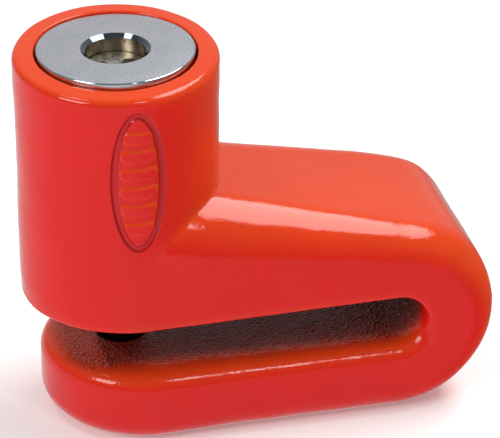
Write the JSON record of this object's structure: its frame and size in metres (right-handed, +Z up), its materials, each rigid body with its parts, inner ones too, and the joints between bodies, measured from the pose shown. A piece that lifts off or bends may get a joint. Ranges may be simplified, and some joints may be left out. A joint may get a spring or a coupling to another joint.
{
  "type": "disc brake lock",
  "caption": "Motorcycle disc brake lock: a dipped wedge body with a slot for the brake disc, and a push-down key plunger that drops a pin across the slot.",
  "frame": {"origin": "where the lock's axis meets the flat base of the lower jaw", "axes": "+Z up along the lock axis, +X along the disc slot to the round nose, -Y towards the side with the oval badge"},
  "size_m": [0.0925, 0.042, 0.078],
  "materials": {
    "red_vinyl": "thick glossy dipped vinyl with a slight orange peel, grained inside the disc slot",
    "cast_metal": "as-cast zinc alloy, dull",
    "satin_chrome": "satin chrome face with polished edges",
    "hardened_steel": "dark hardened steel",
    "bright_steel": "plain machined steel",
    "brass": "machined brass",
    "black_rubber": "black nitrile rubber"
  },
  "bodies": {
    "lock_body": {"body_casting": "cast_metal", "vinyl_jacket": "red_vinyl", "mouth_seal": "black_rubber", "pin_guide_bush": "hardened_steel", "pin_receiver_bush": "hardened_steel", "plunger_stop_screw": "hardened_steel", "spring_seat": "bright_steel", "return_spring": "bright_steel"},
    "plunger": {"plunger_barrel": "satin_chrome", "pin_carrier": "bright_steel", "locking_pin": "hardened_steel", "carrier_cross_pin": "bright_steel"},
    "plug": {"key_plug": "satin_chrome", "plug_clip": "bright_steel", "drive_cam": "bright_steel", "wafer_1": "brass", "wafer_2": "brass", "wafer_3": "brass", "wafer_4": "brass", "wafer_5": "brass"},
    "latch": {"latch_bolt": "hardened_steel"}
  },
  "joints": [
    {"name": "plunger_slide", "type": "slide", "parent": "lock_body", "child": "plunger", "axis": [0, 0, 1], "range_m": [0, 0.0155], "deforming": ["return_spring"]},
    {"name": "key_turn", "type": "hinge", "parent": "plunger", "child": "plug", "pos_m": [0, 0, 0.0739], "axis": [0, 0, 1], "range_deg": [-90, 0]},
    {"name": "latch_slide", "type": "slide", "parent": "plunger", "child": "latch", "axis": [1, 0, 0], "range_m": [0, 0.00241]}
  ],
  "couplings": [
    {"joint": "latch_slide", "follows": "key_turn", "m_per_rad": -0.0015305}
  ]
}
